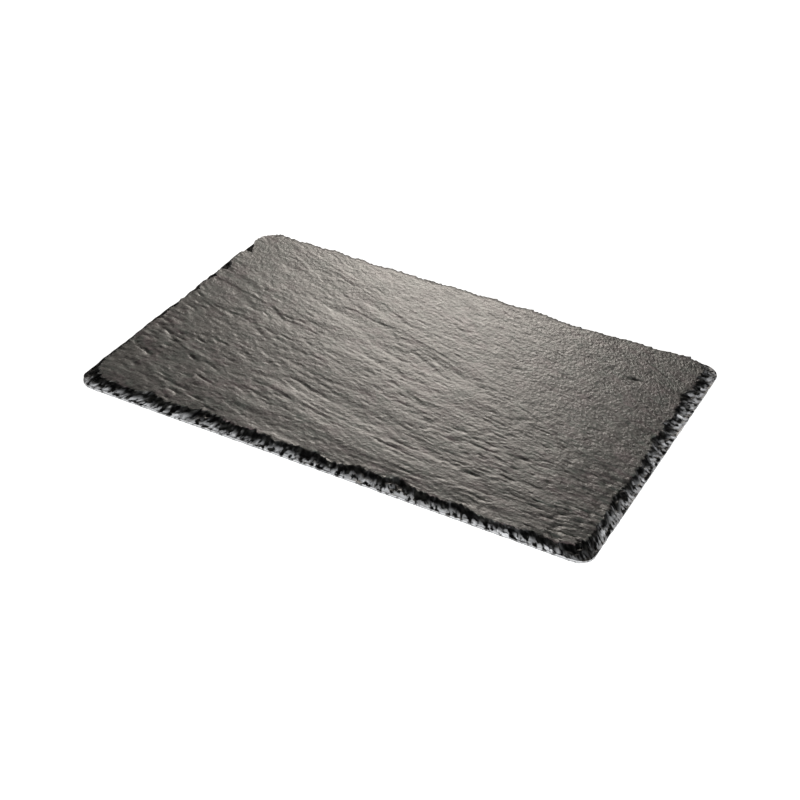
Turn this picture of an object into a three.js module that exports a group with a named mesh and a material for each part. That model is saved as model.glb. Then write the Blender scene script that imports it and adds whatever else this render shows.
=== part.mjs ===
// A rectangular slab of dark slate, split along its cleavage.
// The top is riven, with ledges and creases that follow the grain. The edges are chipped back
// to a ragged bevel above a thin rim. The underside is flat, with its lower edge nibbled away.
// Millimetres, +Z up, origin at the middle of the underside, length along X.
import * as THREE from 'three';

// Driving dimensions
const LENGTH = 300;
const WIDTH = 200;
const THICKNESS = 5;
const HALF_LENGTH = LENGTH / 2;
const HALF_WIDTH = WIDTH / 2;
const PERIMETER = 2 * (LENGTH + WIDTH);

// Edges: the rim is the low wall round the outline, and the bevel climbs from it to the top
const RIM_HEIGHT = 1.25;
const RIM_VARIATION = 0.4;
const BEVEL_POWER = 1.45;
const BEVEL_LUMPS = 0.3;
const RIM_CHIP_DEPTH = 0.4;
const UNDER_CHIP_DEPTH = 0.35;
const FRONT_HOLLOW = 0.3;
const BACK_BEVEL_WIDTH = 5;
const BACK_CORNER = 13;
const CORNER_RADII = [12, 9, 11, 12];
const LEAST_CORNER_RADIUS = 2;

// Top relief
const BROAD_DROP = 0.35;
const LEDGE_HEIGHT = 0.3;
const STREAK_DEPTH = 0.16;
const CREASE_DEPTH = 0.35;
const CREASE_WIDTH = 1.5;

// Facets: columns run across the slab, and rows follow the grain
const EDGE_STEPS = 360;
const BEVEL_STAGES = [0, 0.3, 0.65, 1];
const BORDER = 15;
const COLUMNS = 36;
const ROW_PITCH = 2.4;

// Grain: its slope at the middle, how that changes over the slab, and the turn at the right
const GRAIN_SLOPE = 0.33;
const GRAIN_FAN = 0.13;
const GRAIN_TURN = 0.44;
const TURN_START = 20;

// Width of the bevel along the edges, as [distance round the outline, width].
// The distance starts at the front left corner and runs by way of the front right corner.
const BEVEL_WIDTHS = [
  [0, 9], [15, 7.2], [30, 7], [38, 10.5], [48, 7.2], [60, 7.5], [68, 9.5], [78, 10.6], [95, 7.4],
  [108, 8.8], [121, 6.2], [133, 8.2], [147, 8.2], [157, 5.8], [167, 8.4], [171, 9.6], [187, 8],
  [197, 11.8], [203, 8.4], [218, 6.8], [233, 8.6], [240, 5.4], [248, 4.6], [258, 4.6], [273, 7],
  [285, 6], [300, 9.5], [308, 7.8], [323, 6.8], [340, 7.4], [350, 9.4], [362, 7.2], [380, 6.4],
  [397, 7.8], [403, 7], [413, 10.2], [422, 7.2], [430, 9.4], [438, 7.4], [453, 9], [465, 10.4],
  [473, 6.8], [486, 8], [500, 8], [507, 6], [517, 2.4], [525, 3.5], [535, 5.2], [547, 3.8],
  [555, 5], [565, 6.2], [584, 7], [600, 6], [614, 3.8], [630, 6], [640, 3.6], [650, 5.3],
  [660, 4.6], [685, 6], [710, 5.5], [725, 7.2], [730, 5.2], [737, 6.2], [750, 4.4], [761, 6],
  [770, 4.8], [779, 6.6], [787, 4.8], [800, 8], [805, 5], [811, 7.8], [817, 4.4], [829, 4.2],
  [836, 7.6], [842, 4], [852, 3.8], [857, 6], [861, 3.8], [866, 5.6], [870, 3.8], [875, 6.8],
  [881, 3.8], [893, 3.6], [898, 5], [903, 3.6], [914, 4.8], [920, 3.8], [945, 3.8], [950, 5],
  [956, 3.8], [985, 4.5], [1000, 9],
];

// Creases in the top, as runs of [x, y] points from left to right
const CREASES = [
  [[-147, 29], [-107, 19], [-61, 7]],
  [[-147, 7], [-127, 1], [-107, -1], [-95, -5], [-81, -15]],
  [[-73, -11], [-49, -16]],
  [[-19, -11], [1, -15], [29, -27]],
  [[-147, -37], [-117, -41], [-57, -53], [-19, -61], [3, -68]],
  [[55, -42], [91, -51]],
  [[33, -54], [61, -57]],
  [[84, -40], [101, -47]],
  [[-59, 41], [-23, 34]],
  [[-9, 21], [23, 5]],
  [[-47, -39], [-19, -48]],
  [[-113, -49], [-81, -51]],
];
const PIT = [113, 56];
const PIT_RADIUS = 3;
const PIT_DEPTH = 0.35;

const clamp = (value, low, high) => Math.min(high, Math.max(low, value));
const smooth = (f) => f * f * (3 - 2 * f);
const mix = (a, b, f) => a + (b - a) * f;

// A repeatable number from 0 to 1 for a pair of whole numbers
function hash(i, j, seed) {
  let h = Math.imul(i, 374761393) + Math.imul(j, 668265263) + Math.imul(seed, 974634777);
  h = Math.imul(h ^ (h >>> 13), 1274126177);
  return ((h ^ (h >>> 16)) >>> 0) / 4294967296;
}

// Smooth noise from 0 to 1
function noise(x, y, seed) {
  const i = Math.floor(x);
  const j = Math.floor(y);
  const fx = smooth(x - i);
  const fy = smooth(y - j);
  const low = mix(hash(i, j, seed), hash(i + 1, j, seed), fx);
  const high = mix(hash(i, j + 1, seed), hash(i + 1, j + 1, seed), fx);
  return mix(low, high, fy);
}

// Scoops along the outline: 0 at the cusps between them, up to 1 in the middle of a scoop
function scoops(t, pitch, seed) {
  const count = Math.round(PERIMETER / pitch);
  const place = (t / PERIMETER) * count;
  const cusp = (k) => k + 0.5 * (hash((k + count) % count, 0, seed) - 0.5);
  let k = Math.floor(place);
  if (place < cusp(k)) k -= 1;
  if (place >= cusp(k + 1)) k += 1;
  const f = (place - cusp(k)) / (cusp(k + 1) - cusp(k));
  const depth = 0.35 + 0.65 * hash((k + count) % count, 1, seed);
  return depth * 4 * f * (1 - f);
}

// Grain coordinates: v is constant along a line of the grain, and u runs along it
function grainTurn(x) {
  return GRAIN_TURN * Math.max(0, x - TURN_START) ** 2 / 200;
}

function grainAcross(x, y) {
  return y * (1 + GRAIN_FAN * x / 100 + grainTurn(x) / 200) + GRAIN_SLOPE * x - grainTurn(x) / 2;
}

function grainLineY(x, v) {
  return (v - GRAIN_SLOPE * x + grainTurn(x) / 2) / (1 + GRAIN_FAN * x / 100 + grainTurn(x) / 200);
}

function grainAlong(x, y) {
  return 0.956 * x - 0.292 * y;
}

// How far a point is from a run of points, and how much of the crease's depth is left there
function creaseCut(x, y, run) {
  let cut = 0;
  for (let k = 0; k + 1 < run.length; k += 1) {
    const [x0, y0] = run[k];
    const [x1, y1] = run[k + 1];
    const length = Math.hypot(x1 - x0, y1 - y0);
    const along = ((x - x0) * (x1 - x0) + (y - y0) * (y1 - y0)) / length;
    const across = ((y - y0) * (x1 - x0) - (x - x0) * (y1 - y0)) / length;
    const past = Math.max(0, -along, along - length);
    cut = Math.max(cut, Math.exp(-((across / CREASE_WIDTH) ** 2) - (past / 3) ** 2));
  }
  return cut;
}

// Depth of the top's surface below the slab's full thickness
function topDrop(x, y) {
  const u = grainAlong(x, y);
  const v = grainAcross(x, y);
  const broad = noise(x / 70 + 5, y / 55 + 5, 1);
  const layers = 5 * noise(u / 85 + 9, v / 17 + 9, 2) + noise(u / 30, v / 6, 3);
  const ledge = Math.floor(layers) + smooth(clamp((layers - Math.floor(layers)) * 2.5, 0, 1));
  const streak = noise(u / 22, v / 4.8, 4);
  let drop = BROAD_DROP * broad + LEDGE_HEIGHT * (ledge - 3) * 0.5 + STREAK_DEPTH * (streak - 0.5);
  for (const run of CREASES) {
    drop += CREASE_DEPTH * creaseCut(x, y, run);
  }
  const pit = Math.hypot(x - PIT[0], y - PIT[1]) / PIT_RADIUS;
  drop += PIT_DEPTH * Math.exp(-pit * pit);
  return Math.max(0, drop);
}

// A point at distance t round the outline, moved in from the edge by the given inset
function insetPoint(t, inset) {
  const corners = [[-1, -1], [1, -1], [1, 1], [-1, 1]];
  const starts = [0, LENGTH, LENGTH + WIDTH, 2 * LENGTH + WIDTH, PERIMETER];
  let side = 0;
  while (side < 3 && t >= starts[side + 1]) side += 1;
  const next = (side + 1) % 4;
  const from = [corners[side][0] * (HALF_LENGTH - inset), corners[side][1] * (HALF_WIDTH - inset)];
  const to = [corners[next][0] * (HALF_LENGTH - inset), corners[next][1] * (HALF_WIDTH - inset)];
  const length = Math.hypot(to[0] - from[0], to[1] - from[1]);
  const dir = [(to[0] - from[0]) / length, (to[1] - from[1]) / length];
  const inward = [-dir[1], dir[0]];
  const place = ((t - starts[side]) / (starts[side + 1] - starts[side])) * length;
  const bend = (corner, distance, sign) => {
    const radius = Math.max(CORNER_RADII[corner] - 0.6 * inset, LEAST_CORNER_RADIUS);
    if (distance >= radius) return null;
    const angle = (1 - distance / radius) * Math.PI / 4;
    const anchor = sign > 0 ? from : to;
    return [0, 1].map((k) => anchor[k] + radius * (sign * dir[k] + inward[k])
      - radius * (Math.cos(angle) * inward[k] + sign * Math.sin(angle) * dir[k]));
  };
  return bend(side, place, 1) || bend(next, length - place, -1)
    || [from[0] + dir[0] * place, from[1] + dir[1] * place];
}

function bevelWidth(t) {
  let k = 0;
  while (BEVEL_WIDTHS[k + 1][0] < t) k += 1;
  const [t0, w0] = BEVEL_WIDTHS[k];
  const [t1, w1] = BEVEL_WIDTHS[k + 1];
  const drawn = mix(w0, w1, (t - t0) / (t1 - t0));
  const bite = drawn / 8;
  return drawn + bite * (1.3 * (scoops(t, 11, 11) - 0.5) + 0.9 * (scoops(t, 5.5, 12) - 0.5));
}

function rimHeight(t) {
  return RIM_HEIGHT + RIM_VARIATION * (2 * noise(t / 7, 0.5, 13) - 1);
}

// How far the rim stands in from the full outline: small chips all round, a slight hollow in
// front, and larger pieces broken off behind, where the bevel stays narrow
function rimInset(t) {
  const chips = RIM_CHIP_DEPTH * clamp(scoops(t, 8.5, 14) - 0.35, 0, 1);
  if (t < LENGTH) return chips + FRONT_HOLLOW * Math.sin(Math.PI * t / LENGTH);
  const behind = Math.abs(t - 1.5 * LENGTH - WIDTH) < HALF_LENGTH - BACK_CORNER;
  return chips + (behind ? Math.max(0, bevelWidth(t) - BACK_BEVEL_WIDTH) : 0);
}

// Mesh building
const positions = [];
const triangles = [];

function addVertex(x, y, z) {
  positions.push(x, y, z);
  return positions.length / 3 - 1;
}

// Fill the gap between two rows of points with triangles, in step with their own parameters.
// Each point is [vertex, parameter], and both rows run the same way.
function fillBetween(right, left) {
  let i = 0;
  let j = 0;
  while (i + 1 < right.length || j + 1 < left.length) {
    const nextRight = i + 1 < right.length ? right[i + 1][1] : Infinity;
    const nextLeft = j + 1 < left.length ? left[j + 1][1] : Infinity;
    if (nextRight <= nextLeft) {
      triangles.push(right[i][0], right[i + 1][0], left[j][0]);
      i += 1;
    } else {
      triangles.push(right[i][0], left[j + 1][0], left[j][0]);
      j += 1;
    }
  }
}

function closeLoop(loop) {
  return [...loop, [loop[0][0], PERIMETER]];
}

function edgeLoop(insetAt, heightAt) {
  const loop = [];
  for (let k = 0; k < EDGE_STEPS; k += 1) {
    const t = (k / EDGE_STEPS) * PERIMETER;
    const [x, y] = insetPoint(t, insetAt(t));
    loop.push([addVertex(x, y, heightAt(t, x, y)), t]);
  }
  return loop;
}

// The bevel, one loop of points at each stage of its climb
function bevelLoop(stage, index) {
  const insetAt = (t) => mix(rimInset(t), bevelWidth(t), stage);
  const heightAt = (t, x, y) => {
    const top = THICKNESS - topDrop(x, y);
    const lump = stage > 0 && stage < 1 ? BEVEL_LUMPS * (2 * noise(t / 5, index * 3.7, 15) - 1) : 0;
    return mix(rimHeight(t), top, stage ** BEVEL_POWER) + lump;
  };
  return edgeLoop(insetAt, heightAt);
}

// The riven top inside the border: columns of points that sit on lines of the grain
function topColumns() {
  const halfX = HALF_LENGTH - BORDER;
  const halfY = HALF_WIDTH - BORDER;
  const columns = [];
  for (let k = 0; k <= COLUMNS; k += 1) {
    const x = mix(-halfX, halfX, k / COLUMNS);
    const low = grainAcross(x, -halfY);
    const high = grainAcross(x, halfY);
    const column = [[addVertex(x, -halfY, THICKNESS - topDrop(x, -halfY)), low, x, -halfY]];
    for (let line = Math.ceil(low / ROW_PITCH + 0.4); line < high / ROW_PITCH - 0.4; line += 1) {
      const v = line * ROW_PITCH;
      const y = grainLineY(x, v);
      column.push([addVertex(x, y, THICKNESS - topDrop(x, y)), v, x, y]);
    }
    column.push([addVertex(x, halfY, THICKNESS - topDrop(x, halfY)), high, x, halfY]);
    columns.push(column);
  }
  return columns;
}

// The outer points of those columns, in order round the slab
function columnsBorder(columns) {
  const halfX = HALF_LENGTH - BORDER;
  const halfY = HALF_WIDTH - BORDER;
  const last = columns.length - 1;
  const along = (point) => (point[2] + halfX) / (2 * halfX) * LENGTH;
  const up = (point) => (point[3] + halfY) / (2 * halfY) * WIDTH;
  const front = columns.slice(0, last).map((column) => [column[0][0], along(column[0])]);
  const right = columns[last].slice(0, -1).map((point) => [point[0], LENGTH + up(point)]);
  const ends = columns.slice(1).reverse().map((column) => column[column.length - 1]);
  const back = ends.map((point) => [point[0], 2 * LENGTH + WIDTH - along(point)]);
  const left = columns[0].slice(1).reverse().map((point) => [point[0], PERIMETER - up(point)]);
  return [...front, ...right, ...back, ...left];
}

function slabGeometry() {
  const under = edgeLoop((t) => rimInset(t) + UNDER_CHIP_DEPTH * scoops(t, 4, 16), () => 0);
  const loops = [under, ...BEVEL_STAGES.map(bevelLoop)];
  const columns = topColumns();
  loops.push(columnsBorder(columns));
  for (let k = 0; k + 1 < loops.length; k += 1) {
    fillBetween(closeLoop(loops[k]), closeLoop(loops[k + 1]));
  }
  for (let k = 0; k + 1 < columns.length; k += 1) {
    fillBetween(columns[k + 1], columns[k]);
  }
  const outline = under.map(([vertex]) => new THREE.Vector2(positions[vertex * 3],
    positions[vertex * 3 + 1]));
  for (const [a, b, c] of THREE.ShapeUtils.triangulateShape(outline, [])) {
    triangles.push(under[c][0], under[b][0], under[a][0]);
  }
  const geometry = new THREE.BufferGeometry();
  geometry.setAttribute('position', new THREE.Float32BufferAttribute(positions, 3));
  geometry.setIndex(triangles);
  geometry.computeVertexNormals();
  return geometry;
}

const slate = new THREE.MeshStandardMaterial({ color: 0x4a4a48, roughness: 0.6, metalness: 0 });
slate.flatShading = true;

const slab = new THREE.Mesh(slabGeometry(), slate);
slab.name = 'slate_slab';

const group = new THREE.Group();
group.name = 'slate_slab_part';
group.add(slab);

export default group;
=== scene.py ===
"""The looks of the slate slab: a finely riven mesh in place of the solid, its material, and the set."""

import math

import bpy
import numpy as np
from mathutils import Matrix, Vector


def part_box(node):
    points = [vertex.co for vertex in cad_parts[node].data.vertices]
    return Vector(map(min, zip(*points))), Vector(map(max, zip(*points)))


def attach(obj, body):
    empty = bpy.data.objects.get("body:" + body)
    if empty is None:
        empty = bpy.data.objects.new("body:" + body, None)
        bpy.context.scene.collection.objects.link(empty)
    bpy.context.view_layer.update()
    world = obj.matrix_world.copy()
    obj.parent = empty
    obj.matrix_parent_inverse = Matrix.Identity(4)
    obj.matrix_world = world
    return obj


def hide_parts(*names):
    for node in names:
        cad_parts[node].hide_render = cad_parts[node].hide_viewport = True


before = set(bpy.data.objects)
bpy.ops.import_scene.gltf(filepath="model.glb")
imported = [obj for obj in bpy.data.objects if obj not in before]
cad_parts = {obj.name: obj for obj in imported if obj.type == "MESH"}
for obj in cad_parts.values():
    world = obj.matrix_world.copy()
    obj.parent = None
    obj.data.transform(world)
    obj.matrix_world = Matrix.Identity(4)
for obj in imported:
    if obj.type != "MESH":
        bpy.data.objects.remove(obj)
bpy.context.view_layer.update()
slab_low, slab_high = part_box("slate_slab")

# Driving dimensions in millimetres, taken from the solid
MM = 0.001
LENGTH = round((slab_high.x - slab_low.x) / MM, 3)
WIDTH = round((slab_high.y - slab_low.y) / MM, 3)
THICKNESS = round((slab_high.z - slab_low.z) / MM, 3)
HALF_LENGTH = LENGTH / 2
HALF_WIDTH = WIDTH / 2
PERIMETER = 2 * (LENGTH + WIDTH)

# The distance round the outline starts at the front left corner and runs by way of the front right one
SIDE_ENDS = [0, LENGTH, LENGTH + WIDTH, 2 * LENGTH + WIDTH, PERIMETER]
FRONT, RIGHT, BACK, LEFT = range(4)

# Edges, close to those of the solid: the rim is the low wall round the outline, and the bevel
# climbs from it to the top
RIM_HEIGHT = 1.25
RIM_VARIATION = 0.4
RIM_CHIP_PITCH = 8.5
RIM_CHIP_LEVEL = 0.35
RIM_CHIP_DEPTH = 0.4
RIM_FACET_DEPTH = 0.12
UNDER_CHIP_PITCH = 4
UNDER_CHIP_DEPTH = 0.15
FRONT_HOLLOW = 0.3
USUAL_BEVEL_WIDTH = 8
WIDE_BITE_PITCH = 11
WIDE_BITE_DEPTH = 1.3
NARROW_BITE_PITCH = 5.5
NARROW_BITE_DEPTH = 0.9
BEVEL_POWER = 1.45
BEVEL_LUMPS = 0.3
FINE_BEVEL_LUMPS = 0.5
LEAST_BEVEL_HEIGHT = 0.3
WIDE_FLAKE_PITCH = 4.2
NARROW_FLAKE_PITCH = 2.1
FLAKE_DEPTH = 0.35
TOOTH_PITCH = 3.4
TOOTH_DEPTH = 1.1
FINE_TOOTH_DEPTH = 0.7
BAY_WIDTH = 4.6
BAY_POWER = 3.5
BACK_BEVEL_WIDTH = 5
BACK_CORNER = 13
CORNER_RADII = [12, 9, 11, 12]
CORNER_TIGHTENING = 0.6
LEAST_CORNER_RADIUS = 2
SIDE_FADE = 6
LEAST_SCOOP = 0.35
CUSP_WANDER = 0.5

# How far the left rim is broken in, as (distance round the outline, inset)
LEFT_BREAKS = [
    (797, 0), (806, 1.3), (829, 1.4), (832, 0), (852, 0.2), (856, 0.8), (863, 0.8), (866, 0),
    (870, 0.6), (873, 0), (879, 0), (883, 0.7), (888, 0.1), (896, 0.9), (903, 0.6), (909, 0),
]

# Top relief, close to that of the solid. The fine relief comes on top of it, so its mean is taken off.
BROAD_DROP = 0.35
LEDGE_HEIGHT = 0.28
STREAK_DEPTH = 0.15
CREASE_DEPTH = 0.2
DEEP_CREASE_DEPTH = 0.4
DEEP_CREASE_OPENNESS = 0.6
CREASE_WIDTH = 1.9
CREASE_FOOT = 4
CREASE_END = 3
CREASE_WANDER = 1.6
FINE_MEAN = 0.2

# Relief too fine for the solid
GRAIN_WAVER = 1.3
LONG_STREAK_DEPTH = 0.17
SHORT_STREAK_DEPTH = 0.11
FINE_LEDGE_HEIGHT = 0.05
SPLIT_DEPTH = 0.36
SKIN_DEPTH = 0.05
SANDY_SKIN_DEPTH = 0.1
STREAKS_LEFT_IN_SAND = 0.35
SAND_ALONG_THE_BACK = 0.35
QUIET_LEFT = 0.58
LIVELY_RIGHT = 1.12
EXTRA_AT_FRONT_LEFT = 0.75
EXTRA_AT_FRONT_RIGHT = 0.6

# Grain: its direction, its slope at the middle, how that changes over the slab, and the turn at the right
GRAIN_RUN = (0.956, -0.292)
GRAIN_SLOPE = 0.27
GRAIN_FAN = 0.13
GRAIN_TURN = 0.35
TURN_START = 20
TURN_Y = -60

# Width of the bevel along the edges, as (distance round the outline, width)
BEVEL_WIDTHS = [
    (0, 9), (15, 7.2), (30, 7), (38, 10.5), (48, 7.2), (60, 7.5), (68, 9.5), (78, 10.6), (95, 7.4),
    (108, 8.8), (121, 6.2), (133, 8.2), (147, 8.2), (157, 5.8), (167, 8.4), (171, 9.6), (187, 8),
    (197, 11.8), (203, 8.4), (218, 6.8), (233, 8.6), (240, 5.4), (248, 4.6), (258, 4.6), (273, 7),
    (285, 6), (300, 9.5), (308, 7.8), (323, 6.8), (340, 7.4), (350, 9.4), (362, 7.2), (380, 6.4),
    (397, 7.8), (403, 7), (413, 10.2), (422, 7.2), (430, 9.4), (438, 7.4), (453, 9), (465, 10.4),
    (473, 6.8), (486, 8), (500, 8), (507, 6), (517, 2.4), (525, 3.5), (535, 5.2), (547, 3.8),
    (555, 5), (565, 6.2), (584, 7), (600, 6), (614, 3.8), (630, 6), (640, 3.6), (650, 5.3),
    (660, 4.6), (685, 6), (710, 5.5), (725, 7.2), (730, 5.2), (737, 6.2), (750, 4.4), (761, 6),
    (770, 4.8), (779, 6.6), (787, 4.8), (800, 6), (808, 4.6), (818, 3.8), (821, 7), (826, 10), (829, 6),
    (833, 4), (843, 4), (847, 6), (852, 8.6), (855, 8), (858, 4.2), (863, 4), (866, 7), (870, 5.6),
    (874, 4), (881, 4), (885, 7), (889, 6.6), (892, 4), (896, 5.4), (903, 4), (908, 6), (914, 4),
    (925, 5.2), (932, 4), (952, 4), (957, 5.6), (963, 4), (985, 4.8), (1000, 9),
]

# Creases in the top, as runs of (x, y) points from left to right: the deep ones, then the others
DEEP_CREASES = [
    [(-146, 32), (-128, 27), (-98, 19), (-86, 12)],
    [(-146, 11), (-128, 4), (-113, 1), (-105, 1), (-95, -3), (-88, -9)],
    [(-146, -31), (-133, -35), (-119, -44), (-105, -50)],
]
CREASES = [
    [(-86, 12), (-61, 7)],
    [(-88, -9), (-81, -15)],
    [(-73, -11), (-49, -16)],
    [(-19, -11), (1, -15), (29, -27)],
    [(-105, -50), (-57, -53), (-19, -61), (3, -68)],
    [(-140, -62), (-124, -65), (-103, -71)],
    [(55, -42), (91, -51)],
    [(33, -54), (61, -57)],
    [(84, -40), (101, -47)],
    [(-59, 41), (-23, 34)],
    [(-9, 21), (23, 5)],
    [(-47, -39), (-19, -48)],
]
PIT = (112, 58.5)
PIT_RADII = (4.6, 1.2)
PIT_DEPTH = 0.9

# How far up the bevel the pale bruises reach, as shares of its climb, and how often a blob comes. The
# bruises are partly painted glints of light from the floor.
PALE_REACH = 0.68
PALE_REACH_AT_BLOBS = 0.6
PALE_REACH_BETWEEN_BLOBS = 1.35
BLOB_PITCH = 9

# Painted shade: the front right corner loses most of its bruises and its rim is shaded all the way up, and
# the back edge has a dark line of painted shade above its bevel
CORNER_SHADE_REACH = 15
CORNER_SHADE_STRENGTH = 0.65
BACK_LINE_SHADE = 0.5
NEXT_LINE_SHADE = 0.25

# Mesh spacing: loops follow the outline, and inside the border the rows follow the grain
EDGE_PITCH = 0.62
RIM_STAGES = 4
BEVEL_STAGES = 15
BORDER = 15
BORDER_STAGES = 9
COLUMN_PITCH = 1.5
ROW_PITCH = 0.62
ROW_GAP = 0.4
UNDER_MARGIN = 5
UNDER_COLUMN_PITCH = 9
UNDER_ROW_PITCH = 4
UNDER_RELIEF = 0.35
UNDER_CONTACT = 0.45
UNDER_FLAT_RIM = 4
UNDER_FADE = 6
SHARP_ANGLE = 32

# Colours of the slate
WARM_STONE = (0.152, 0.145, 0.135, 1)
COOL_STONE = (0.133, 0.156, 0.139, 1)
ROSY_STONE = (0.182, 0.142, 0.148, 1)
DARK_STONE = (0.025, 0.024, 0.023, 1)
# Black of the broken bevel: partly the dark break itself, partly painted shade of its rough face
BREAK_WITH_PAINTED_SHADE = (0, 0, 0, 1)
SPLINTERED_BREAK = (0.03, 0.03, 0.027, 1)
# Pale bruises, partly painted glints of light from the floor
BRUISE_AND_GLINT = (0.8, 0.81, 0.83, 1)
SHADED_FOOT = (0.1, 0.1, 0.1, 1)
FOOT_SHADE = 0.7

MOTTLE_STRENGTH = 0.4
LONG_IN_THE_GRAIN = (0.22, 1.0, 1.0)

# Sheen of the slate
SLATE_IOR = 1.5
LEAST_ROUGHNESS = 0.32
MOST_ROUGHNESS = 0.42
MATT_EXTRA = 0.5

# Relief finer than the mesh: heights in metres, and how much of each is left in the other kind of stone
THREAD_HEIGHT = 0.00016
THREADS_IN_SAND = 0.3
GRIT_HEIGHT = 0.00038
GRIT_IN_STREAKS = 0.55

# The set, in metres
FLOOR_HALF_SIZE = 30
FLOOR_GAP = 0.0001
FLOOR_COLOUR = (0.86, 0.86, 0.86, 1)
FLOOR_ROUGHNESS = 0.9
FLOOR_GLOW = 1.0
WHITE = (1, 1, 1)
WARM_WHITE = (1, 0.93, 0.85)
ROOM_STRENGTH = 0.02

# Camera, fitted to the four edges of the slab in the photo
VIEW_AZIMUTH = 25.57
VIEW_ELEVATION = 34.26
VIEW_ROLL = 3.47
VIEW_DISTANCE = 0.90505
VIEW_TARGET = (0.00773, -0.02129, 0)
LENS = 75.20
SENSOR_WIDTH = 36
NEAREST_SEEN = 0.01


def smooth(f):
    return f * f * (3 - 2 * f)


def mix(a, b, f):
    return a + (b - a) * f


def whole_hash(i, j, seed):
    """A repeatable number from 0 to 1 for each pair of whole numbers, the same as in the solid."""
    h = (i * 374761393 + j * 668265263 + seed * 974634777) & 0xFFFFFFFF
    h = ((h ^ (h >> 13)) * 1274126177) & 0xFFFFFFFF
    return (h ^ (h >> 16)) / 4294967296


def noise(x, y, seed):
    """Smooth noise from 0 to 1. Each pattern in this script has a seed of its own."""
    x, y = np.broadcast_arrays(np.asarray(x, float), np.asarray(y, float))
    i = np.floor(x).astype(np.int64)
    j = np.floor(y).astype(np.int64)
    fx = smooth(x - i)
    fy = smooth(y - j)
    low = mix(whole_hash(i, j, seed), whole_hash(i + 1, j, seed), fx)
    high = mix(whole_hash(i, j + 1, seed), whole_hash(i + 1, j + 1, seed), fx)
    return mix(low, high, fy)


def scoops(t, pitch, seed):
    """Scoops along the outline: 0 at the cusps between them, up to 1 in the middle of a scoop."""
    t = np.asarray(t, float)
    count = round(PERIMETER / pitch)
    place = t / PERIMETER * count

    def cusp(k):
        return k + CUSP_WANDER * (whole_hash((k + count) % count, 0, seed) - 0.5)

    k = np.floor(place).astype(np.int64)
    k = np.where(place < cusp(k), k - 1, k)
    k = np.where(place >= cusp(k + 1), k + 1, k)
    f = (place - cusp(k)) / (cusp(k + 1) - cusp(k))
    depth = mix(LEAST_SCOOP, 1, whole_hash((k + count) % count, 1, seed))
    return depth * 4 * f * (1 - f)


def grain_turn(x):
    return GRAIN_TURN * (np.maximum(0, x - TURN_START) / 100) ** 2 / 2


def grain_across(x, y):
    return y * (1 + GRAIN_FAN * x / 100) + GRAIN_SLOPE * x + (y - TURN_Y) * grain_turn(x)


def grain_line_y(x, v):
    return (v - GRAIN_SLOPE * x + TURN_Y * grain_turn(x)) / (1 + GRAIN_FAN * x / 100 + grain_turn(x))


def grain_along(x, y):
    return GRAIN_RUN[0] * x + GRAIN_RUN[1] * y


def crease_step(x, y, run, least_openness):
    """A crease is a small step down to the front that slopes back up: 1 at its foot, 0 away from it.
    The step opens and closes along the crease."""
    step = np.zeros_like(x)
    wander = CREASE_WANDER * (noise(x / 5, y / 5, 28) - 0.5)
    openness = np.clip(2.2 * noise(x / 7, y / 7, 29) - 0.4, least_openness, 1.2)
    for (x0, y0), (x1, y1) in zip(run, run[1:]):
        length = math.hypot(x1 - x0, y1 - y0)
        along = ((x - x0) * (x1 - x0) + (y - y0) * (y1 - y0)) / length
        across = ((y - y0) * (x1 - x0) - (x - x0) * (y1 - y0)) / length
        past = np.maximum(0, np.maximum(-along, along - length))
        front = wander - across
        face = smooth(np.clip(front / CREASE_WIDTH + 0.5, 0, 1))
        fade = np.exp(-np.maximum(0, front) / CREASE_FOOT - (past / CREASE_END) ** 2)
        step = np.maximum(step, face * fade)
    return step * openness


def sandy(x, y):
    """How far the streaks give way to an even, sandy grain: fully at the back right, partly along
    the rest of the back, and not at all at the front left."""
    at_right = np.clip((x + 20) / 100, 0, 1) * np.clip((y + 50) / 80, 0, 1)
    return np.maximum(at_right, SAND_ALONG_THE_BACK * np.clip((y - 5) / 50, 0, 1))


def liveliness(x, y):
    """How strong the fine relief is: it grows to the right and towards the two front corners."""
    front_left = np.clip((-50 - x) / 60, 0, 1) * np.clip((10 - y) / 60, 0, 1)
    front_right = np.clip((x - 105) / 30, 0, 1) * np.clip((-20 - y) / 30, 0, 1)
    across_the_slab = mix(QUIET_LEFT, LIVELY_RIGHT, np.clip(x / 100, 0, 1))
    return across_the_slab + EXTRA_AT_FRONT_LEFT * front_left + EXTRA_AT_FRONT_RIGHT * front_right


def fine_drop(x, y, u, v):
    """Depth of the relief too fine for the solid: short streaks along the grain, thin ledges, splits
    and a granular skin. u and v are the distances along and across the grain."""
    v = v + GRAIN_WAVER * (noise(x / 4.5, y / 4.5, 37) - 0.5)
    patchy = 0.5 + noise(u / 18, v / 9, 27)
    long_streaks = LONG_STREAK_DEPTH * noise(u / 4.6, v / 1.9, 21)
    streaks = long_streaks + SHORT_STREAK_DEPTH * noise(u / 2.6, v / 1.3, 22)
    layers = 6 * noise(u / 30 + 3, v / 7 + 3, 23)
    steps = np.floor(layers) + smooth(np.clip((layers - np.floor(layers)) * 4, 0, 1))
    ledges = FINE_LEDGE_HEIGHT * steps
    open_here = np.clip(3 * noise(u / 22, v / 12, 25) - 0.8, 0.2, 1)
    splits = SPLIT_DEPTH * np.clip(3 * noise(u / 5, v / 2.1, 24) - 1.9, 0, 1) * open_here
    skin = (SKIN_DEPTH + SANDY_SKIN_DEPTH * sandy(x, y)) * noise(x / 3.4, y / 2.8, 26)
    streaky = mix(1, STREAKS_LEFT_IN_SAND, sandy(x, y))
    return liveliness(x, y) * (streaky * (patchy * streaks + ledges + splits) + skin)


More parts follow.
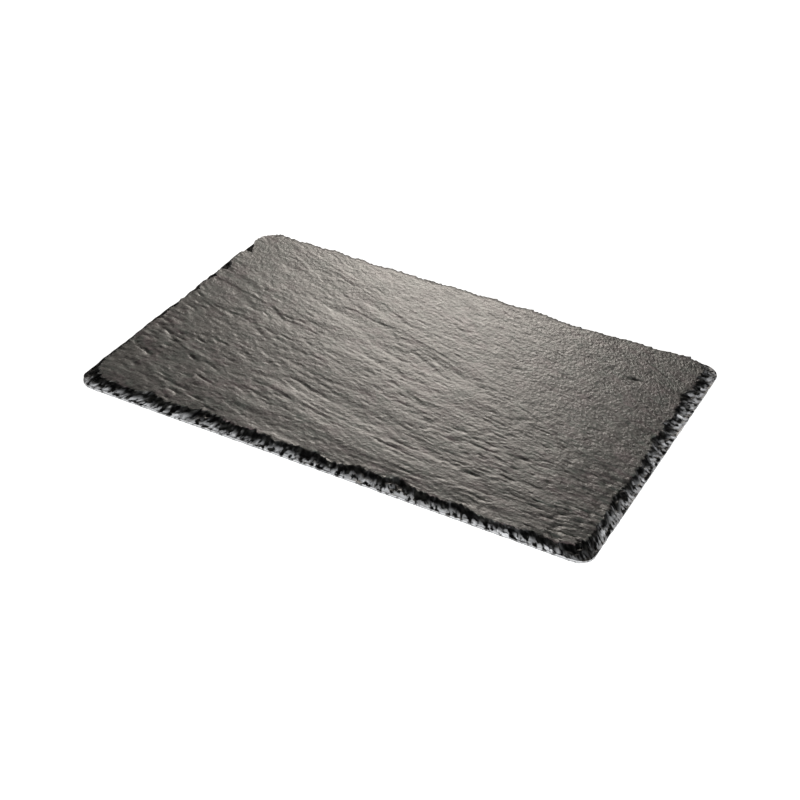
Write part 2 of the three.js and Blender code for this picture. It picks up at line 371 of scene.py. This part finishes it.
def top_drop(x, y):
    """Depth of the top's surface below the slab's full thickness."""
    u = grain_along(x, y)
    v = grain_across(x, y)
    broad = noise(x / 70 + 5, y / 55 + 5, 1)
    layers = 5 * noise(u / 85 + 9, v / 17 + 9, 2) + noise(u / 30, v / 6, 3)
    ledge = np.floor(layers) + smooth(np.clip((layers - np.floor(layers)) * 2.5, 0, 1))
    streak = noise(u / 22, v / 4.8, 4)
    drop = BROAD_DROP * broad + LEDGE_HEIGHT * (ledge - 3) * 0.5 + STREAK_DEPTH * (streak - 0.5)
    pit = PIT_DEPTH * np.exp(-((x - PIT[0]) / PIT_RADII[0]) ** 2 - ((y - PIT[1]) / PIT_RADII[1]) ** 2)
    creases = sum(CREASE_DEPTH * crease_step(x, y, run, 0) for run in CREASES)
    deep_creases = sum(
        DEEP_CREASE_DEPTH * crease_step(x, y, run, DEEP_CREASE_OPENNESS) for run in DEEP_CREASES
    )
    return np.maximum(0, drop - FINE_MEAN) + creases + deep_creases + pit + fine_drop(x, y, u, v)


def inset_points(t, inset):
    """Points at distance t round the outline, each moved in from the edge by its inset."""
    corners = [(-1, -1), (1, -1), (1, 1), (-1, 1)]
    points = np.zeros((len(t), 2))
    for side in (FRONT, RIGHT, BACK, LEFT):
        here = (t >= SIDE_ENDS[side]) & (t < SIDE_ENDS[side + 1])
        d = inset[here]
        ends = []
        for corner in (side, (side + 1) % 4):
            sx, sy = corners[corner]
            ends.append(np.stack([sx * (HALF_LENGTH - d), sy * (HALF_WIDTH - d)], 1))
        length = np.linalg.norm(ends[1] - ends[0], axis=1)
        run = (ends[1] - ends[0]) / length[:, None]
        inward = np.stack([-run[:, 1], run[:, 0]], 1)
        place = (t[here] - SIDE_ENDS[side]) / (SIDE_ENDS[side + 1] - SIDE_ENDS[side]) * length
        found = ends[0] + run * place[:, None]
        for corner, end, distance, sign in ((side, 0, place, 1), ((side + 1) % 4, 1, length - place, -1)):
            radius = np.maximum(CORNER_RADII[corner] - CORNER_TIGHTENING * d, LEAST_CORNER_RADIUS)
            angle = (1 - distance / radius) * math.pi / 4
            centre = ends[end] + radius[:, None] * (sign * run + inward)
            spoke = np.cos(angle)[:, None] * inward + sign * np.sin(angle)[:, None] * run
            bent = centre - radius[:, None] * spoke
            found = np.where((distance < radius)[:, None], bent, found)
        points[here] = found
    return points


def bevel_width(t):
    drawn = np.interp(t, [place for place, _ in BEVEL_WIDTHS], [width for _, width in BEVEL_WIDTHS])
    wide_bites = WIDE_BITE_DEPTH * (scoops(t, WIDE_BITE_PITCH, 11) - 0.5)
    narrow_bites = NARROW_BITE_DEPTH * (scoops(t, NARROW_BITE_PITCH, 12) - 0.5)
    return drawn + drawn / USUAL_BEVEL_WIDTH * (wide_bites + narrow_bites)


def rim_height(t):
    return RIM_HEIGHT + RIM_VARIATION * (2 * noise(t / 7, 0.5, 13) - 1)


def rim_inset(t):
    """How far the rim stands in from the full outline: small chips all round, a slight hollow in
    front, and larger pieces broken off behind and at the left."""
    chips = RIM_CHIP_DEPTH * np.clip(scoops(t, RIM_CHIP_PITCH, 14) - RIM_CHIP_LEVEL, 0, 1)
    hollow = np.where(t < LENGTH, FRONT_HOLLOW * np.sin(np.pi * t / LENGTH), 0)
    behind = np.abs(t - 1.5 * LENGTH - WIDTH) < HALF_LENGTH - BACK_CORNER
    broken = np.where(behind, np.maximum(0, bevel_width(t) - BACK_BEVEL_WIDTH), 0)
    on_left = np.interp(t, [place for place, _ in LEFT_BREAKS], [inset for _, inset in LEFT_BREAKS])
    return chips + hollow + broken + on_left


def on_side(t, side):
    """1 along one side of the outline, fading at its ends, and 0 along the others."""
    return np.clip(np.minimum(t - SIDE_ENDS[side], SIDE_ENDS[side + 1] - t) / SIDE_FADE, 0, 1)


def bay(t):
    """1 in the wide bays of the left edge, where the break lies low like a shelf, and 0 elsewhere."""
    return on_side(t, LEFT) * np.clip((bevel_width(t) - BAY_WIDTH) / 2, 0, 1)


def jagged(t):
    """Small teeth along the line where the bevel meets the top."""
    teeth = TOOTH_DEPTH * (scoops(t, TOOTH_PITCH, 35) - 0.5)
    return teeth + FINE_TOOTH_DEPTH * (2 * noise(t / 1.4, 0.5, 36) - 1)


def flake_scars(t, stage):
    """Narrow flake scars that run up the bevel and widen as they climb: how far each point is cut in,
    from 0 to 1."""
    wide = scoops(t, WIDE_FLAKE_PITCH, 31)
    narrow = scoops(t, NARROW_FLAKE_PITCH, 32)
    return np.where(stage < 0.5, mix(narrow, wide, 2 * np.clip(stage, 0, 0.5)), wide)


class SlabMesh:
    """Points and faces of the slab, with the masks and the edge coordinates that the material reads.
    A point's edge coordinates are how far round the outline it is, and how far it has climbed."""

    def __init__(self):
        self.points = []
        self.masks = []
        self.edge_points = []
        self.count = 0
        self.faces = []

    def add(self, x, y, z, bevel=0.0, pale=0.0, matt=0.0, round_at=0.0, climb=0.0):
        """Adds points in millimetres and returns their numbers."""
        each = np.ones(len(x))
        self.points.append(np.stack([x, each * y, each * z], 1))
        self.masks.append(np.stack([each * bevel, each * pale, each * matt], 1))
        self.edge_points.append(np.stack([each * round_at, each * climb, each * 0], 1))
        first = self.count
        self.count += len(x)
        return np.arange(first, self.count)

    def fill_between(self, right, right_at, left, left_at):
        """Fills the gap between two rows of points, in step with each row's own parameter."""
        i = j = 0
        right, left = right.tolist(), left.tolist()
        right_at, left_at = right_at.tolist() + [math.inf], left_at.tolist() + [math.inf]
        while i + 1 < len(right) or j + 1 < len(left):
            if right_at[i + 1] <= left_at[j + 1]:
                self.faces.append((right[i], right[i + 1], left[j]))
                i += 1
            else:
                self.faces.append((right[i], left[j + 1], left[j]))
                j += 1

    def join_loops(self, outer, outer_at, inner, inner_at):
        """Fills the gap between two closed loops that both start at the front left corner."""
        self.fill_between(
            np.append(outer, outer[0]), np.append(outer_at, PERIMETER),
            np.append(inner, inner[0]), np.append(inner_at, PERIMETER),
        )


def grain_sheet(mesh, half_x, half_y, column_pitch, row_pitch, height_at, facing_up):
    """A sheet of points inside the border: columns across the slab, rows along the grain.
    Returns its outer points, in order round the slab, and how far round each one is."""
    columns = []
    xs = np.linspace(-half_x, half_x, round(2 * half_x / column_pitch) + 1)
    for x in xs:
        low, high = grain_across(x, -half_y), grain_across(x, half_y)
        lines = np.arange(math.ceil(low / row_pitch + ROW_GAP), high / row_pitch - ROW_GAP) * row_pitch
        at = np.concatenate([[low], lines, [high]])
        y = np.concatenate([[-half_y], grain_line_y(x, lines), [half_y]])
        here = np.full(len(y), x)
        columns.append((mesh.add(here, y, height_at(here, y)), at, y))
    for near, far in zip(columns, columns[1:]):
        right, left = (far, near) if facing_up else (near, far)
        mesh.fill_between(right[0], right[1], left[0], left[1])
    along = (xs + half_x) / (2 * half_x) * LENGTH
    first, last = columns[0], columns[-1]
    numbers = np.concatenate([
        [column[0][0] for column in columns[:-1]], last[0][:-1],
        [column[0][-1] for column in columns[:0:-1]], first[0][:0:-1],
    ])
    places = np.concatenate([
        along[:-1], LENGTH + (last[2][:-1] + half_y) / (2 * half_y) * WIDTH,
        2 * LENGTH + WIDTH - along[:0:-1],
        PERIMETER - (first[2][:0:-1] + half_y) / (2 * half_y) * WIDTH,
    ])
    return numbers.astype(int), places


def painted_corner_shade(t):
    """Painted shade at the front right corner: 1 there, where the edge has few pale bruises and its rim is
    shaded all the way up, and 0 away from it.
    """
    return np.exp(-((t - SIDE_ENDS[RIGHT]) / CORNER_SHADE_REACH) ** 4)


def bevel_paleness(t, stage):
    """How bruised the bevel is, the bruises being partly painted glints of light from the floor. They fade
    as it climbs, and at the right they reach up between blobs of black. The left edge has none."""
    between_blobs = 1 - np.clip(1.6 * scoops(t, BLOB_PITCH, 38), 0, 1)
    reach_at_right = mix(PALE_REACH_AT_BLOBS, PALE_REACH_BETWEEN_BLOBS, between_blobs)
    reach = mix(PALE_REACH, reach_at_right, on_side(t, RIGHT))
    fading = np.clip(1 - stage / reach, 0, 1)
    # Painted shade takes most of the pale bruises away at the front right corner
    return fading * (1 - on_side(t, LEFT)) * (1 - CORNER_SHADE_STRENGTH * painted_corner_shade(t))


def rim_loops(mesh, t):
    """Loops up the rim, from its foot. The paleness above 1 marks the shaded foot for the material."""
    rim = rim_inset(t)
    nibble = UNDER_CHIP_DEPTH * scoops(t, UNDER_CHIP_PITCH, 16)
    loops = []
    for stage in np.linspace(0, 1, RIM_STAGES, endpoint=False):
        facet = RIM_FACET_DEPTH * noise(t / 1.3, stage * 2.3, 33) * (stage > 0)
        points = inset_points(t, rim + nibble * (1 - stage) ** 2 + facet)
        # Painted shade: at the front right corner the shaded foot climbs the whole rim
        pale = 2 - stage * (1 - painted_corner_shade(t))
        height = rim_height(t) * stage
        x, y = points[:, 0], points[:, 1]
        loops.append(mesh.add(x, y, height, bevel=1, pale=pale, round_at=t, climb=height))
    return loops


def bevel_loops(mesh, t):
    """Loops up the bevel, from the top of the rim to the line where it meets the slab's top."""
    rim = rim_inset(t)
    width = bevel_width(t) + jagged(t)
    height = rim_height(t)
    loops = []
    for stage in np.linspace(0, 1, BEVEL_STAGES):
        scar = flake_scars(t, stage) * 4 * stage * (1 - stage)
        points = inset_points(t, mix(rim, width, stage) + FLAKE_DEPTH * (scar - 0.3) * (stage > 0))
        x, y = points[:, 0], points[:, 1]
        lumps = BEVEL_LUMPS * (2 * noise(t / 5, stage * 3.7, 15) - 1)
        lumps = lumps + FINE_BEVEL_LUMPS * (2 * noise(t / 1.8, stage * 5.3, 34) - 1)
        z = mix(height, THICKNESS - top_drop(x, y), stage ** mix(BEVEL_POWER, BAY_POWER, bay(t)))
        z = np.clip(z + lumps * np.clip(6 * stage * (1 - stage), 0, 1), LEAST_BEVEL_HEIGHT, THICKNESS)
        # The bevel's black break, partly painted shade, stops at the top loop, where only the back edge
        # keeps a line of painted shade
        dark = 1 if stage < 1 else BACK_LINE_SHADE * on_side(t, BACK)
        pale = bevel_paleness(t, stage)
        matt = on_side(t, LEFT) if stage < 1 else dark
        climb = height + stage * width
        loops.append(mesh.add(x, y, z, bevel=dark, pale=pale, matt=matt, round_at=t, climb=climb))
    return loops


def border_loops(mesh, t):
    """Loops over the top, from the bevel to the border."""
    width = bevel_width(t) + jagged(t)
    loops = []
    for number, stage in enumerate(np.linspace(0, 1, BORDER_STAGES + 1)[1:-1]):
        inset = mix(width, BORDER, stage)
        points = inset_points(t, inset)
        x, y = points[:, 0], points[:, 1]
        z = THICKNESS - top_drop(x, y)
        # The first loop keeps some of the back edge's line of painted shade
        dark = NEXT_LINE_SHADE * on_side(t, BACK) if number == 0 else 0
        climb = rim_height(t) + inset
        loops.append(mesh.add(x, y, z, bevel=dark, matt=dark, round_at=t, climb=climb))
    return loops


def edge_loops(mesh, t):
    """All the loops, joined: returns the one at the foot of the rim and the one at the border."""
    loops = rim_loops(mesh, t) + bevel_loops(mesh, t) + border_loops(mesh, t)
    for outer, inner in zip(loops, loops[1:]):
        mesh.join_loops(outer, t, inner, t)
    return loops[0], loops[-1]


def under_height(x, y):
    """The underside is split flat too, and rests on its many high spots."""
    relief = noise(grain_along(x, y) / 40, grain_across(x, y) / 14, 41) - UNDER_CONTACT
    inside = np.minimum(HALF_LENGTH - np.abs(x), HALF_WIDTH - np.abs(y))
    return UNDER_RELIEF * np.clip(relief, 0, 1) * np.clip((inside - UNDER_FLAT_RIM) / UNDER_FADE, 0, 1)


def slab_geometry():
    mesh = SlabMesh()
    count = round(PERIMETER / EDGE_PITCH)
    t = np.arange(count) * PERIMETER / count
    foot, border = edge_loops(mesh, t)
    top_loop, top_at = grain_sheet(
        mesh, HALF_LENGTH - BORDER, HALF_WIDTH - BORDER, COLUMN_PITCH, ROW_PITCH,
        lambda x, y: THICKNESS - top_drop(x, y), True,
    )
    mesh.join_loops(border, t, top_loop, top_at)
    under_loop, under_at = grain_sheet(
        mesh, HALF_LENGTH - UNDER_MARGIN, HALF_WIDTH - UNDER_MARGIN,
        UNDER_COLUMN_PITCH, UNDER_ROW_PITCH, under_height, False,
    )
    mesh.join_loops(under_loop, under_at, foot, t)
    return mesh


def add_vectors(data, name, vectors):
    attribute = data.attributes.new(name, "FLOAT_VECTOR", "POINT")
    attribute.data.foreach_set("vector", vectors.ravel())


def add_values(data, name, values):
    attribute = data.attributes.new(name, "FLOAT", "POINT")
    attribute.data.foreach_set("value", values)


def slab_object(mesh, material):
    """The mesh as a Blender object, in metres, with its grain coordinates and masks."""
    points = np.concatenate(mesh.points)
    x, y, z = points[:, 0], points[:, 1], points[:, 2]
    data = bpy.data.meshes.new("riven_slate")
    data.from_pydata((points * MM).tolist(), [], mesh.faces)
    add_vectors(data, "grain", np.stack([grain_along(x, y), grain_across(x, y), z], 1) * MM)
    add_values(data, "sandy", sandy(x, y))
    add_vectors(data, "edge", np.concatenate(mesh.edge_points) * MM)
    for name, mask in zip(("bevel", "pale", "matt"), np.concatenate(mesh.masks).T):
        add_values(data, name, mask.copy())
    data.shade_smooth()
    data.set_sharp_from_angle(angle=math.radians(SHARP_ANGLE))
    data.materials.append(material)
    slab = bpy.data.objects.new("riven_slate", data)
    bpy.context.scene.collection.objects.link(slab)
    return slab


class Nodes:
    """Short calls for building a material's nodes."""

    def __init__(self, material):
        material.use_nodes = True
        self.tree = material.node_tree
        self.shader = self.tree.nodes["Principled BSDF"]

    def link(self, value, socket):
        if isinstance(value, bpy.types.NodeSocket):
            self.tree.links.new(value, socket)
        else:
            socket.default_value = value

    def attribute(self, name, output):
        node = self.tree.nodes.new("ShaderNodeAttribute")
        node.attribute_name = name
        return node.outputs[output]

    def stretched(self, vector, scale):
        node = self.tree.nodes.new("ShaderNodeMapping")
        self.link(vector, node.inputs["Vector"])
        node.inputs["Scale"].default_value = scale
        return node.outputs["Vector"]

    def noise(self, vector, scale, detail, roughness=0.6, distortion=0.0):
        node = self.tree.nodes.new("ShaderNodeTexNoise")
        self.link(vector, node.inputs["Vector"])
        node.inputs["Scale"].default_value = scale
        node.inputs["Detail"].default_value = detail
        node.inputs["Roughness"].default_value = roughness
        node.inputs["Distortion"].default_value = distortion
        return node.outputs["Fac"]

    def ramp(self, value, low, high, from_value=0.0, to_value=1.0):
        node = self.tree.nodes.new("ShaderNodeMapRange")
        self.link(value, node.inputs["Value"])
        node.inputs["From Min"].default_value = low
        node.inputs["From Max"].default_value = high
        node.inputs["To Min"].default_value = from_value
        node.inputs["To Max"].default_value = to_value
        return node.outputs["Result"]

    def combine(self, operation, a, b):
        node = self.tree.nodes.new("ShaderNodeMath")
        node.operation = operation
        self.link(a, node.inputs[0])
        self.link(b, node.inputs[1])
        return node.outputs["Value"]

    def add(self, a, b):
        return self.combine("ADD", a, b)

    def times(self, a, b):
        return self.combine("MULTIPLY", a, b)

    def blend(self, factor, a, b):
        node = self.tree.nodes.new("ShaderNodeMix")
        node.data_type = "RGBA"
        self.link(factor, node.inputs["Factor"])
        self.link(a, node.inputs["A"])
        self.link(b, node.inputs["B"])
        return node.outputs["Result"]

    def bump(self, height, distance, strength, below=None):
        node = self.tree.nodes.new("ShaderNodeBump")
        node.inputs["Distance"].default_value = distance
        self.link(strength, node.inputs["Strength"])
        self.link(height, node.inputs["Height"])
        if below is not None:
            self.link(below, node.inputs["Normal"])
        return node.outputs["Normal"]


def stone_colour(nodes, grain, sand):
    """Dark streaks, grains and patches on stone that varies softly between warm, cool and rosy grey."""
    streaks = nodes.noise(nodes.stretched(grain, LONG_IN_THE_GRAIN), scale=480, detail=4)
    grains = nodes.noise(nodes.stretched(grain, (1.2, 0.8, 1.0)), scale=430, detail=3)
    patches = nodes.noise(nodes.stretched(grain, (0.5, 1.0, 1.0)), scale=190, detail=3)
    tone = nodes.ramp(nodes.add(nodes.add(streaks, grains), patches), 1.28, 1.72)
    mottles = nodes.noise(grain, scale=330, detail=2, roughness=0.5)
    mottles = nodes.ramp(mottles, 0.35, 0.65, -MOTTLE_STRENGTH, MOTTLE_STRENGTH)
    tone = nodes.add(tone, nodes.times(sand, mottles))
    cool = nodes.ramp(nodes.noise(grain, scale=90, detail=4), 0.4, 0.6)
    rosy = nodes.noise(nodes.stretched(grain, (1.0, 1.6, 1.0)), scale=65, detail=3)
    rosy = nodes.ramp(rosy, 0.5, 0.62)
    light_stone = nodes.blend(rosy, nodes.blend(cool, WARM_STONE, COOL_STONE), ROSY_STONE)
    return nodes.blend(tone, DARK_STONE, light_stone)


def edge_colour(nodes, stone, edge, bevel, pale):
    """The stone, with a black break on the bevel that is partly painted shade, pale bruises towards the
    rim that are partly painted glints, and a shaded foot.
    """
    splinters = nodes.noise(nodes.stretched(edge, (1.0, 0.9, 1.0)), scale=260, detail=3)
    break_with_painted_shade = nodes.blend(nodes.ramp(splinters, 0.5, 0.75), BREAK_WITH_PAINTED_SHADE, SPLINTERED_BREAK)
    colour = nodes.blend(bevel, stone, break_with_painted_shade)
    reach = nodes.noise(nodes.stretched(edge, (1.0, 0.4, 1.0)), scale=140, detail=4, roughness=0.65)
    fade = nodes.ramp(nodes.add(pale, nodes.times(reach, 1.1)), 0.5, 1.25)
    specks = nodes.noise(nodes.stretched(edge, (1.0, 0.8, 1.0)), scale=360, detail=2, roughness=0.5)
    specks = nodes.ramp(nodes.add(specks, nodes.times(pale, 0.05)), 0.47, 0.57)
    # Pale bruises near the rim, partly painted glints of light from the floor
    colour = nodes.blend(nodes.times(specks, nodes.times(fade, fade)), colour, BRUISE_AND_GLINT)
    return nodes.blend(nodes.ramp(pale, 1.0, 1.3, 0.0, FOOT_SHADE), colour, SHADED_FOOT)


def slate_roughness(nodes, grain, matt):
    """A low sheen that varies along the grain, and matt breaks."""
    streaks = nodes.noise(nodes.stretched(grain, LONG_IN_THE_GRAIN), scale=420, detail=4)
    sheen = nodes.ramp(streaks, 0.3, 0.7, LEAST_ROUGHNESS, MOST_ROUGHNESS)
    return nodes.add(sheen, nodes.times(matt, MATT_EXTRA))


def slate_relief(nodes, grain, sand):
    """Relief finer than the mesh: threads along the grain and, where the stone is sandy, more grit."""
    threads = nodes.noise(
        nodes.stretched(grain, (0.5, 1.0, 1.0)), scale=400, detail=2, roughness=0.5, distortion=0.6,
    )
    grit = nodes.noise(nodes.stretched(grain, (1.1, 1.0, 1.0)), scale=440, detail=3, roughness=0.5)
    relief = nodes.bump(threads, THREAD_HEIGHT, nodes.ramp(sand, 0, 1, 1, THREADS_IN_SAND))
    return nodes.bump(grit, GRIT_HEIGHT, nodes.ramp(sand, 0, 1, GRIT_IN_STREAKS, 1), relief)


def slate_material():
    """Dark slate, from the grain coordinates and masks that the mesh carries."""
    material = bpy.data.materials.new("slate")
    nodes = Nodes(material)
    grain = nodes.attribute("grain", "Vector")
    edge = nodes.attribute("edge", "Vector")
    bevel, pale, matt, sand = (nodes.attribute(name, "Fac") for name in ("bevel", "pale", "matt", "sandy"))
    colour = edge_colour(nodes, stone_colour(nodes, grain, sand), edge, bevel, pale)
    nodes.link(colour, nodes.shader.inputs["Base Color"])
    nodes.link(slate_roughness(nodes, grain, matt), nodes.shader.inputs["Roughness"])
    nodes.link(slate_relief(nodes, grain, sand), nodes.shader.inputs["Normal"])
    nodes.shader.inputs["IOR"].default_value = SLATE_IOR
    return material


def floor_material():
    material = bpy.data.materials.new("pale_floor")
    nodes = Nodes(material)
    nodes.shader.inputs["Base Color"].default_value = FLOOR_COLOUR
    nodes.shader.inputs["Roughness"].default_value = FLOOR_ROUGHNESS
    nodes.shader.inputs["Emission Color"].default_value = (*WHITE, 1)
    nodes.shader.inputs["Emission Strength"].default_value = FLOOR_GLOW
    return material


def make_floor():
    size = FLOOR_HALF_SIZE
    data = bpy.data.meshes.new("floor")
    corners = [(-size, -size, 0), (size, -size, 0), (size, size, 0), (-size, size, 0)]
    data.from_pydata(corners, [], [(0, 1, 2, 3)])
    data.materials.append(floor_material())
    floor = bpy.data.objects.new("floor", data)
    floor.location.z = -FLOOR_GAP
    bpy.context.scene.collection.objects.link(floor)


def make_light(name, place, aim, width, height, power, colour):
    light = bpy.data.lights.new(name, "AREA")
    light.shape = "RECTANGLE"
    light.size = width
    light.size_y = height
    light.energy = power
    light.color = colour
    holder = bpy.data.objects.new(name, light)
    holder.location = place
    holder.rotation_euler = (Vector(aim) - Vector(place)).to_track_quat("-Z", "Y").to_euler()
    bpy.context.scene.collection.objects.link(holder)


def make_lights():
    """Two soft lights behind the slab give the top its sheen, and a low one in front lights the edge."""
    make_light(
        "back_softbox", place=(-0.41, 1.0, 0.46), aim=(-0.02, 0.03, 0),
        width=0.4, height=0.36, power=5.1, colour=WARM_WHITE,
    )
    make_light(
        "left_softbox", place=(-0.9, 1.0, 0.7), aim=(-0.1, 0, 0),
        width=0.4, height=0.4, power=0.65, colour=WARM_WHITE,
    )
    make_light(
        "front_fill", place=(0.9, -1.6, 0.22), aim=(0, 0, 0),
        width=1.2, height=0.4, power=34, colour=WHITE,
    )


def make_world():
    """A dim white room, shown without a film look."""
    world = bpy.data.worlds.new("dim_room")
    world.use_nodes = True
    background = world.node_tree.nodes["Background"]
    background.inputs["Color"].default_value = (*WHITE, 1)
    background.inputs["Strength"].default_value = ROOM_STRENGTH
    bpy.context.scene.world = world
    bpy.context.scene.view_settings.view_transform = "Standard"


def make_camera():
    azimuth, elevation, roll = (math.radians(a) for a in (VIEW_AZIMUTH, VIEW_ELEVATION, VIEW_ROLL))
    level = math.cos(elevation)
    back = Vector((math.sin(azimuth) * level, -math.cos(azimuth) * level, math.sin(elevation)))
    right = Vector((math.cos(azimuth), math.sin(azimuth), 0))
    up = back.cross(right)
    rolled_right = math.cos(roll) * right + math.sin(roll) * up
    rolled_up = math.cos(roll) * up - math.sin(roll) * right
    turn = Matrix((rolled_right, rolled_up, back)).transposed().to_4x4()
    camera = bpy.data.cameras.new("camera")
    camera.sensor_width = SENSOR_WIDTH
    camera.lens = LENS
    camera.clip_start = NEAREST_SEEN
    holder = bpy.data.objects.new("camera", camera)
    holder.matrix_world = Matrix.Translation(Vector(VIEW_TARGET) + back * VIEW_DISTANCE) @ turn
    bpy.context.scene.collection.objects.link(holder)
    bpy.context.scene.camera = holder


slab = slab_object(slab_geometry(), slate_material())
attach(slab, "root")
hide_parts("slate_slab")
make_floor()
make_lights()
make_world()
make_camera()
